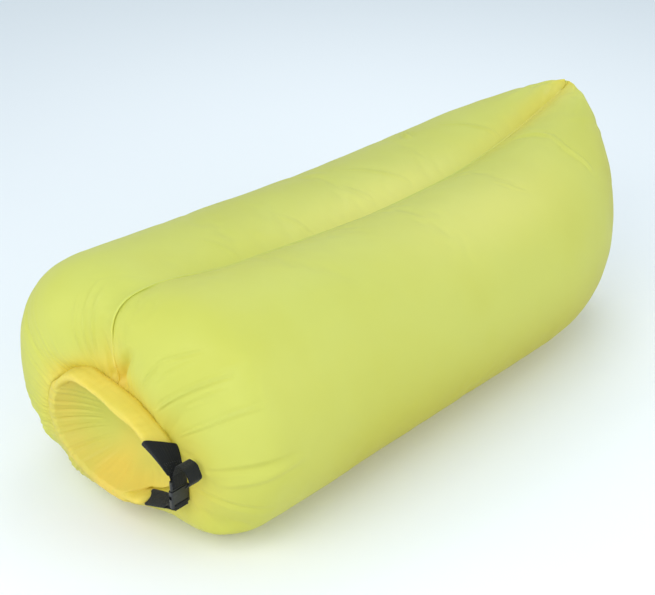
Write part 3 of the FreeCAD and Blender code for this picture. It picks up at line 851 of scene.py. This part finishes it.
def dress(piece, slot, material, *nodes, body="lounger"):
    """Gives a piece its material and its body, and hides the CAD nodes that it stands for; the slot argument
    is not used.
    """
    piece.data.materials.clear()
    piece.data.materials.append(material)
    if body:
        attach(piece, body)
    if nodes:
        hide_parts(*nodes)
    return piece


# -------------------------------------------------------------------------------- the rolled mouth

# the roll runs around the loop from one angle to another, in degrees, with a little more of it
# tucked under each tab
ROLL_START = 43
ROLL_END = 305
ROLL_TUCK = 4
ROLL_SQUARENESS = 0.75
# how much further the roll's upper end reaches at its back
TAB_SLANT = 0.050
DISH_DEPTH = 0.040
# how far out on the mouth's sheet its fold over the roll begins
FOLD_START = 0.80


def add_roll():
    """The mouth's roll: a flattened, slightly lumpy roll with its last turns showing as steps."""
    sections, points = 190, 40
    turns = np.radians(np.linspace(ROLL_START - ROLL_TUCK, ROLL_END + ROLL_TUCK, sections))
    side = boxy(np.cos(circle(points)), ROLL_SQUARENESS)
    rise = boxy(np.sin(circle(points)), ROLL_SQUARENESS)
    rings = []
    for turn in turns:
        pace = math.hypot(LOOP_ACROSS * math.sin(turn), LOOP_UP * math.cos(turn))
        slant = TAB_SLANT / 2 * (1 + side) / pace
        slanted = turn - slant * (1 - ease(turn, turns[0], turns[0] + 0.5))
        middle_x, middle_z = loop_place(slanted)
        middle = np.stack([middle_x, np.full(points, LOOP_Y), middle_z], -1)
        rounding = math.sqrt(1 - (1 - min(1, (turns[-1] - turn) / 0.10 + 0.02)) ** 2)
        outward = np.array([math.cos(turn) / LOOP_ACROSS, 0, math.sin(turn) / LOOP_UP])
        outward /= np.linalg.norm(outward)
        wide = ROLL_WIDTH / 2 * (1.02 + 0.05 * math.sin(5 * turn + 1) + 0.03 * math.sin(11 * turn))
        thick = ROLL_THICKNESS / 2 * (0.98 + 0.10 * math.sin(7 * turn) + 0.05 * math.sin(17 * turn))
        steps = 0.0014 * np.tanh((side - 0.35 - 0.08 * math.sin(3 * turn)) * 14)
        steps = steps + 0.0011 * np.tanh((side + 0.30 + 0.10 * math.sin(4 * turn)) * 12)
        rise_metres = rise * (thick + steps * np.sign(rise)) * rounding
        ring = middle + np.outer(rise_metres, outward)
        ring[:, 1] += side * wide * rounding
        rings.append(ring)
    piece = tube("roll", np.array(rings))
    mark_cloth(piece, np.linspace(0, 0.9, sections), np.linspace(0, 0.14, points))
    subdivided(piece)
    places = vertex_places(piece)
    normals = vertex_normals(piece)
    along = layer_values(piece, "along")
    pleats = np.sin(along * 420 + 3 * rough(places, 0.03, 21)) * (0.4 + 0.6 * rough(places, 0.06, 22))
    lumps = rough(places, 0.035, 23)
    places = places + normals * (0.0007 * pleats + 0.0022 * lumps)[:, None]
    set_vertex_places(piece, places)
    # the whole roll painted more orange: layered cloth, with a painted glow of light through its layers
    mark(piece, "layers_and_glow", 0.72 + 0.25 * rough(places, 0.08, 24))
    dress(piece, "ripstop_nylon", nylon, "roll_skin", "roll_liner", "mouth_strip_outer",
          "mouth_strip_inner")


def add_mouth_panel():
    """The inner sheet of the mouth: a pleated funnel that comes forward and folds over the roll's rim."""
    rings, columns = 50, 300
    angles = circle(columns)
    over_roll = ease(angles, math.radians(118), math.radians(152))
    over_roll = over_roll * (1 - ease(angles, math.radians(284), math.radians(302)))
    pleats = np.sin(angles * 37 + 2 * np.sin(angles * 5)) + 0.6 * np.sin(angles * 61 + 1)
    leftness = 0.5 - 0.5 * np.cos(angles)
    inside = ROLL_THICKNESS / 2 + 0.0022
    loop_x, loop_z = loop_place(angles)
    outward = np.stack([np.cos(angles), 0 * angles, np.sin(angles)], -1)
    rows = []
    for ring in range(rings + 1):
        share = max(ring, 0.4) / rings
        out = math.sin(math.pi / 2 * min(1, share / FOLD_START))
        folded = np.clip((share - FOLD_START) / (1 - FOLD_START), 0, 1)
        inset = inside * out * (1 - over_roll * (1 - np.cos(math.pi * folded)))
        across = loop_x * out - inset * np.cos(angles)
        up = between(FUNNEL_Z, loop_z, out) - inset * np.sin(angles)
        rim = between(JUNCTION_Y - 0.006, ROLL_FRONT + 0.004, over_roll)
        dished = between(JUNCTION_Y + DISH_DEPTH, rim, out**2.6)
        bead = 0.006 * np.sin(math.pi * folded) * over_roll
        shaping = 0.0026 * pleats * ease(out, 0.45, 0.92) * (0.2 + 0.8 * leftness) * (1 - folded)
        rows.append(np.stack([across, dished - bead + shaping, up], -1))
    front = np.array(rows)
    back = front[::-1].copy()
    behind = 1 - ease(np.arange(rings, -1, -1), 0.45 * rings, 0.72 * rings)
    back[..., 1] += 0.0002 + 0.0010 * behind[:, None]
    back += 0.0010 * outward * (1 - behind)[:, None, None]
    grid = np.concatenate([front, back])
    piece = tube("mouth_panel_sheet", grid)
    mark_cloth(piece, np.linspace(0, 0.30, len(grid)), np.linspace(0, 1.1, columns))
    # painted more orange near the roll: layered cloth, with painted glow
    mark_layers_and_glow(piece)
    dress(piece, "ripstop_nylon", nylon, "mouth_panel")


# ------------------------------------------------------------------------------------ the seams

# the share of a skin's girth within which it presses against the other skin
WALL_SHARE = 0.03
SEAM_START = 0.045
SEAM_STEP = 0.008
BINDING_POINTS = 14
BINDING_HALF_WIDTH = 0.0042
BINDING_RISE = 0.0022
BINDING_LIFT = 0.0010
PROW_SQUARENESS = 0.6
PROW_HALF_DEPTH = 0.0028


def smoothed(values, reach):
    """Values averaged over their neighbours, with the ends held."""
    padded = np.pad(values, ((reach, reach), (0, 0)), mode="edge")
    width = 2 * reach + 1
    return np.mean([padded[start:start + len(values)] for start in range(width)], axis=0)


def seam_line(skins, edge_share):
    """(places, outward directions, metres along) where the two finished skins part, from the roll on."""
    places = np.concatenate([vertex_places(piece) for piece in skins])
    along = np.concatenate([layer_values(piece, "along") for piece in skins])
    share = np.concatenate([layer_values(piece, "share") for piece in skins])
    wall = (np.abs(places[:, 0]) < WEB_GAP * 2) & (np.abs(share - edge_share) < WALL_SHARE)
    stations = np.arange(SEAM_START, along[wall].max() - 0.02, SEAM_STEP)
    groups = [places[wall & (np.abs(along - station) < SEAM_STEP)] for station in stations]
    middle = smoothed(np.array([np.median(group, axis=0) for group in groups]), 3)
    heading = np.gradient(middle, axis=0)
    heading /= np.linalg.norm(heading, axis=1, keepdims=True)
    outward = np.stack([np.zeros(len(middle)), -heading[:, 2], heading[:, 1]], -1) * (1 - 2 * edge_share)
    height = [((group - place) @ out).max() for group, place, out in zip(groups, middle, outward)]
    return middle + outward * smoothed(np.array(height)[:, None], 2), outward, stations


def add_binding(name, skins, edge_share, node_name):
    """A bound seam that lies along the bottom of a groove between the two finished skins."""
    edge, outward, along = seam_line(skins, edge_share)
    angles = circle(BINDING_POINTS)
    aside = np.outer(np.cos(angles), [BINDING_HALF_WIDTH, 0, 0])
    rings = []
    for place, out in zip(edge, outward):
        rise = np.outer(np.sin(angles) * BINDING_RISE + BINDING_LIFT, out)
        rings.append(np.array([0.0, place[1], place[2]]) + rise + aside)
    grid = np.array(rings)
    grid[..., 2] = np.maximum(grid[..., 2], 0.0)
    seam = tube(name, grid)
    mark_cloth(seam, along, np.linspace(0, 0.03, BINDING_POINTS))
    # painted more orange near the roll and head: layered cloth, with painted glow
    mark_layers_and_glow(seam)
    dress(seam, "seam_binding", binding, node_name)


def add_prow_binding():
    """The upright bound seam at the head, with a slight wave."""
    count, points = 60, 20
    across = boxy(np.cos(circle(points)), PROW_SQUARENESS) * (prow_high.x - 0.001)
    deep = boxy(np.sin(circle(points)), PROW_SQUARENESS)
    along = (prow_low.y + prow_high.y) / 2 - 0.001 + deep * PROW_HALF_DEPTH
    rings = []
    for share in np.linspace(0, 1, count):
        up = between(prow_low.z, prow_high.z, share)
        sway = 0.0012 * math.sin(share * 23) + 0.001 * math.sin(share * 51)
        rings.append(np.stack([across + sway, along, np.full(points, up)], -1))
    piece = tube("prow_binding", np.array(rings))
    mark_cloth(piece, np.linspace(0, 0.6, count), np.linspace(0, 0.05, points))
    # the prow's seam painted a little more orange: layered cloth, with painted glow
    mark(piece, "layers_and_glow", np.full(len(piece.data.vertices), 0.25))
    dress(piece, "seam_binding", binding, "head_seam")


# --------------------------------------------------------------------------- tabs and webbing

PLUG_TAB_LENGTH = 0.090
PLUG_TAB_DROOP = 0.020
SOCKET_TAB_LENGTH = 0.096
SOCKET_TAB_DROOP = 0.004
# each tab: length, half-width, half-thickness, droop, slant of its wide end, twist in degrees
PLUG_TAB = (PLUG_TAB_LENGTH, 0.035, 0.015, PLUG_TAB_DROOP, TAB_SLANT, 0)
SOCKET_TAB = (SOCKET_TAB_LENGTH, 0.022, 0.005, SOCKET_TAB_DROOP, 0, 34)
TAB_TIP_HALF_THICKNESS = 0.0026
TAB_TIP_MARGIN = 0.003
TIP_TUCK = 0.004
# a stitch: (place along its half-length, radius)
STITCH_PROFILE = [(-1, 0.00012), (-0.6, 0.0004), (0.6, 0.0004), (1, 0.00012)]
STITCH_HALF_LENGTH = 0.0013
STRAP_STEP = 0.004
TIGHT_BEND = WEBBING_THICKNESS * 1.4
FOLD_BEND = WEBBING_THICKNESS * 0.8


def loop_end(degrees, turned):
    """(place, heading) where the roll ends, heading out of its end."""
    turn = math.radians(degrees)
    place = np.array([LOOP_ACROSS * math.cos(turn), LOOP_Y, LOOP_Z + LOOP_UP * math.sin(turn)])
    heading = np.array([-LOOP_ACROSS * math.sin(turn), 0, LOOP_UP * math.cos(turn)])
    return place, turned * heading / np.linalg.norm(heading)


def tab_shape(degrees, turned, length, half_width, half_thick, droop, slant, twist):
    """A function of the share of the way along a tab: (middle, half its width, half its thickness, slant)."""
    place, heading = loop_end(degrees, turned)
    along_y = np.array([0.0, 1.0, 0.0])
    upright = np.cross(heading, along_y)

    def section(share):
        lean = math.radians(twist) * (1 - 0.6 * share)
        aside = along_y * math.cos(lean) + upright * math.sin(lean)
        facing = upright * math.cos(lean) - along_y * math.sin(lean)
        wide = between(half_width, WEBBING_WIDTH / 2 + TAB_TIP_MARGIN, share) * aside
        thick = between(half_thick, TAB_TIP_HALF_THICKNESS, share) * facing
        middle = place + heading * (length * share) - np.array([0, 0, droop * share**2])
        return middle, wide, thick, slant * (1 - share) * heading

    return section


def add_tab(name, section, node_name, body="lounger"):
    """A folded fabric tab wrapped over the roll's end, pinched down to the webbing."""
    points, count = 36, 15
    side = boxy(np.cos(circle(points)), 0.45)
    rise = boxy(np.sin(circle(points)), 0.55)
    rings = []
    for share in np.linspace(0, 1, count):
        middle, wide, thick, slanted = section(share)
        swell = 1 + 0.05 * np.cos(side * 7) * (1 - share)
        ring = middle + np.outer(side, wide) + np.outer(rise * swell, thick)
        rings.append(ring + np.outer((1 + side) / 2, slanted))
    grid = np.array(rings)
    piece = tube(name, grid)
    lengths = np.linalg.norm(grid.mean(axis=1) - grid[0].mean(axis=0), axis=1)
    mark_cloth(piece, lengths, np.linspace(0, 0.12, points))
    subdivided(piece)
    return dress(piece, "black_webbing", webbing_look, node_name, body=body)


def tab_spots(section):
    """Places for stitches on a tab's upper face, next to its narrow end."""

    def spot(over, down):
        side = between(-0.72, 0.72, down)
        middle, wide, thick, slanted = section(between(0.72, 0.95, over))
        place = middle + side * wide + thick + (1 + side) / 2 * slanted
        return place, wide / np.linalg.norm(wide), thick / np.linalg.norm(thick)

    return spot


def strap_spots(route, first, last):
    """Places for stitches across a strap, from one distance along its route to another."""
    spots, normal, travel = strap_line(route)

    def spot(over, down):
        distance = between(first, last, over) % travel[-1]
        at = [np.interp(distance, travel, spots[:, axis]) for axis in range(2)]
        out = [np.interp(distance, travel, normal[:, axis]) for axis in range(2)]
        facing = np.array([out[0], 0, out[1]])
        middle = np.array([at[0], LOOP_Y + WEBBING_WIDTH * 0.38 * between(-1, 1, down), at[1]])
        return middle + facing * WEBBING_THICKNESS / 2, np.array([0.0, 1.0, 0.0]), facing

    return spot


def add_stitching(name, spot, columns, node_name, body="lounger"):
    """A box with a cross in it, of short raised stitches that lie on a flat piece."""
    rows, corners = 8, 6
    vertices, faces, travel = [], [], []
    for row in range(rows):
        for column in range(columns):
            down, over = row / (rows - 1), column / (columns - 1)
            on_edge = down in (0, 1) or over in (0, 1)
            on_cross = min(abs(down - over), abs(down + over - 1)) < 0.5 / rows
            if not (on_edge or on_cross):
                continue
            place, across, facing = spot(over, down)
            sideways = np.cross(across, facing)
            first = len(vertices)
            for end, radius in STITCH_PROFILE:
                for turn in circle(corners):
                    reach = sideways * math.cos(turn) + facing * math.sin(turn)
                    vertices.append(place + across * end * STITCH_HALF_LENGTH + reach * radius)
                    travel.append(end * STITCH_HALF_LENGTH)
            sides = grid_faces(len(STITCH_PROFILE), corners, wrap=True)
            last = (len(STITCH_PROFILE) - 1) * corners
            caps = [tuple(range(corners))[::-1], tuple(range(last, last + corners))]
            faces.extend(tuple(first + number for number in face) for face in sides + caps)
    piece = new_piece(name, vertices, faces)
    outwards(piece)
    mark(piece, "along", travel)
    return dress(piece, "sewing_thread", thread, node_name, body=body)


def rounded_path(route):
    """Points along a route of (X, Z, bend radius) in the loop's plane, its corners rounded."""
    corners = [np.array([across, up]) for across, up, radius in route]
    bends = [radius for across, up, radius in route]
    path = [corners[0]]
    for before, corner, after, bend in zip(corners, corners[1:], corners[2:], bends[1:]):
        arriving = (corner - before) / np.linalg.norm(corner - before)
        leaving = (after - corner) / np.linalg.norm(after - corner)
        half_turn = math.acos(max(-1, min(1, arriving @ leaving))) / 2
        reach = bend * math.tan(half_turn)
        centre = corner + (leaving - arriving) / np.linalg.norm(leaving - arriving) * (
            bend / math.cos(half_turn))
        first = corner - arriving * reach
        spin = np.sign(arriving[0] * leaving[1] - arriving[1] * leaving[0])
        for step in range(9):
            turn = spin * 2 * half_turn * step / 8
            arm = first - centre
            path.append(centre + np.array([arm[0] * math.cos(turn) - arm[1] * math.sin(turn),
                                           arm[0] * math.sin(turn) + arm[1] * math.cos(turn)]))
    path.append(corners[-1])
    return path


def strap_line(route):
    """(places, normals, metres along) closely spaced along a strap's route in the loop's plane."""
    path = rounded_path(route)
    spots = [path[0]]
    for place in path[1:]:
        start = spots[-1]
        count = max(1, round(np.linalg.norm(place - start) / STRAP_STEP))
        for step in range(1, count + 1):
            spots.append(between(start, place, step / count))
    spots = np.array(spots)
    heading = np.gradient(spots, axis=0)
    heading /= np.maximum(np.linalg.norm(heading, axis=1, keepdims=True), 1e-9)
    normal = np.stack([-heading[:, 1], heading[:, 0]], -1)
    travel = np.concatenate([[0], np.cumsum(np.linalg.norm(np.diff(spots, axis=0), axis=1))])
    return spots, normal, travel


def strap(name, route):
    """Flat webbing with rounded selvedges along a route in the loop's plane."""
    spots, normal, travel = strap_line(route)
    half_wide, half_thick = WEBBING_WIDTH / 2, WEBBING_THICKNESS / 2
    outline = [(-1, 0), (-0.97, 0.8), (-0.9, 1), (-0.5, 0.92), (0, 0.95), (0.5, 0.92), (0.9, 1),
               (0.97, 0.8), (1, 0), (0.97, -0.8), (0.9, -1), (0.5, -0.92), (0, -0.95),
               (-0.5, -0.92), (-0.9, -1), (-0.97, -0.8)]
    rings, along, around = [], [], []
    for spot, out, distance in zip(spots, normal, travel):
        wave = 0.0006 * math.sin(distance * 70)
        ring = []
        for aside, lift in outline:
            place = spot + out * lift * half_thick
            ring.append([place[0], LOOP_Y + aside * half_wide + wave, place[1]])
            along.append(distance)
            around.append((aside + 1) * half_wide)
        rings.append(ring)
    piece = tube(name, np.array(rings))
    mark(piece, "along", along)
    mark(piece, "around", around)
    return piece


def tab_tip(degrees, turned, length, droop):
    """(X, Z) just inside a tab's narrow end."""
    place, heading = loop_end(degrees, turned)
    tip = place + heading * (length - TIP_TUCK)
    return tip[0], tip[2] - droop


def add_adjuster():
    """The adjuster webbing with its loose tail, and the stitches of the tail's hem."""
    aside = (plug_high.x - plug_low.x) / 2 + WEBBING_THICKNESS / 2 + PART_GAP
    top = plug_high.z
    lower_slot = socket_high.z + PART_GAP + SLOT_RISE
    start = tab_tip(ROLL_START, -1, PLUG_TAB_LENGTH, PLUG_TAB_DROOP)
    route = [
        (start[0], start[1], 0),
        (BUCKLE_X - aside, top + 0.005, 0.006),
        (BUCKLE_X - aside, lower_slot, TIGHT_BEND),
        (BUCKLE_X + aside, lower_slot, TIGHT_BEND),
        (BUCKLE_X + aside, top + 0.016, 0.009),
        (BUCKLE_X + 0.019, top + 0.054, 0.014),
        (BUCKLE_X + 0.050, top + 0.056, 0.014),
        (BUCKLE_X + 0.066, top + 0.026, 0.012),
        (BUCKLE_X + 0.048, top + 0.004, FOLD_BEND),
        (BUCKLE_X + 0.045, top + 0.006, FOLD_BEND),
        (BUCKLE_X + 0.056, top + 0.022, 0),
    ]
    adjuster = strap("adjuster_strap", route)
    dress(adjuster, "black_webbing", webbing_look, "adjuster_webbing")
    add_stitching("tail_thread", strap_spots(route, -0.034, -0.030), 2, "tail_stitching")


def add_anchor():
    """The webbing that anchors the socket, and its stitches."""
    aside = (socket_high.x - socket_low.x) / 2 + WEBBING_THICKNESS / 2 + PART_GAP
    slot_middle = socket_low.z + SLOT_RISE
    under = socket_low.z - WEBBING_THICKNESS / 2 - PART_GAP
    start = tab_tip(ROLL_END, 1, SOCKET_TAB_LENGTH, SOCKET_TAB_DROOP)
    route = [
        (start[0], start[1], 0),
        (BUCKLE_X - aside, under - 0.001, TIGHT_BEND),
        (BUCKLE_X - aside, slot_middle, TIGHT_BEND),
        (BUCKLE_X + aside, slot_middle, TIGHT_BEND),
        (BUCKLE_X + aside, under - 0.005, TIGHT_BEND),
        (start[0] + 0.002, start[1] - 0.006, 0),
    ]
    anchor = strap("anchor_strap", route)
    dress(anchor, "black_webbing", webbing_look, "anchor_webbing", body=None)
    stitches = add_stitching("anchor_thread", strap_spots(route, 0.005, 0.009), 3, "anchor_stitching",
                             body=None)
    section = tab_shape(ROLL_END, 1, *SOCKET_TAB)
    tab = add_tab("socket_tab_wrap", section, "socket_tab", body=None)
    tab_thread = add_stitching("socket_tab_thread", tab_spots(section), 4, "socket_tab_stitching",
                               body=None)
    root = section(0.45)[0]
    for piece in (anchor, stitches, tab_thread, tab):
        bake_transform(piece)


# -------------------------------------------------------------------------------- stage and camera

CAMERA_AZIMUTH = 43.6
CAMERA_ELEVATION = 28.6
CAMERA_AIM = (-0.101, -0.062, 0.248)
CAMERA_DISTANCE = 3.494
CAMERA_LENS = 66.2
FLOOR_HALF = 8.0
FLOOR_DROP = 0.001
FLOOR_COLOUR = (0.86, 0.86, 0.86, 1)
SKY_LOW = (1, 1, 1, 1)
SKY_HIGH = (0.62, 0.84, 1.0, 1)
SKY_STRENGTH = 0.85
# each light: name, place, watts, width, where it looks
LIGHTS = [
    ("key", (0.9, -3.0, 2.6), 58, 2.2, (0, 0, 0.3)),
    ("sky", (-1.5, 2.0, 3.4), 30, 2.5, (0, 0, 0.3)),
    ("side", (3.0, 0.6, 1.9), 30, 2.0, (0, 0, 0.3)),
    ("mouth", (-0.9, -3.0, 0.9), 7, 1.2, (0, -0.9, 0.25)),
]


def add_stage():
    """A plain pale floor."""
    corners = [(across, along, 0) for across, along in ((-1, -1), (1, -1), (1, 1), (-1, 1))]
    floor = new_piece("floor", (np.array(corners) * FLOOR_HALF).tolist(), [(0, 1, 2, 3)])
    floor.location.z = -FLOOR_DROP
    material, tree = new_material("pale_floor")
    shaded(tree, Base_Color=FLOOR_COLOUR, Roughness=0.9, Specular_IOR_Level=0.1)
    floor.data.materials.append(material)


def add_light(name, place, energy, width, aim):
    """A soft square light that looks at the lounger."""
    data = bpy.data.lights.new(name, "AREA")
    data.energy = energy
    data.size = width
    light = bpy.data.objects.new(name, data)
    light.location = place
    light.rotation_euler = (Vector(aim) - Vector(place)).to_track_quat("-Z", "Y").to_euler()
    bpy.context.scene.collection.objects.link(light)


def add_studio():
    """Even surroundings, white with a bluish top, and four large soft lights."""
    world = bpy.data.worlds.new("studio")
    world.use_nodes = True
    tree = world.node_tree
    background = tree.nodes["Background"]
    towards = node(tree, "ShaderNodeTexCoord").outputs["Generated"]
    direction = node(tree, "ShaderNodeSeparateXYZ", Vector=towards)
    height = node(tree, "ShaderNodeMapRange", Value=direction.outputs["Z"], From_Min=0.2, From_Max=1.0)
    colour = mix_colours(tree, height.outputs[0], SKY_LOW, SKY_HIGH)
    tree.links.new(colour, background.inputs["Color"])
    background.inputs["Strength"].default_value = SKY_STRENGTH
    bpy.context.scene.world = world
    for light in LIGHTS:
        add_light(*light)


def add_camera():
    """The camera: seen from the front right, from a little above."""
    azimuth, elevation = math.radians(CAMERA_AZIMUTH), math.radians(CAMERA_ELEVATION)
    back = Vector((math.sin(azimuth) * math.cos(elevation),
                   -math.cos(azimuth) * math.cos(elevation), math.sin(elevation)))
    aim = Vector(CAMERA_AIM)
    data = bpy.data.cameras.new("camera")
    data.lens = CAMERA_LENS
    data.sensor_width = 36
    camera = bpy.data.objects.new("camera", data)
    camera.location = aim + back * CAMERA_DISTANCE
    camera.rotation_euler = back.to_track_quat("Z", "Y").to_euler()
    bpy.context.scene.collection.objects.link(camera)
    bpy.context.scene.camera = camera


add_camera()
right_skin = skin("skin_right", 1, "shell_right", "liner_right", "centre_web")
left_skin = skin("skin_left", -1, "shell_left", "liner_left")
add_roll()
add_mouth_panel()
add_binding("valley_binding", (right_skin, left_skin), 0, "valley_seam")
add_binding("base_binding", (right_skin, left_skin), 1, "base_seam")
add_prow_binding()
plug_tab = tab_shape(ROLL_START, -1, *PLUG_TAB)
add_tab("plug_tab_wrap", plug_tab, "plug_tab")
add_stitching("plug_tab_thread", tab_spots(plug_tab), 7, "plug_tab_stitching")
add_adjuster()
add_anchor()

for name in ("buckle_socket", "buckle_plug", "arm_front", "arm_rear"):
    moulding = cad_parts[name].data
    moulding.materials.clear()
    moulding.materials.append(plastic)

add_stage()
add_studio()
bpy.context.scene.view_settings.view_transform = "Standard"
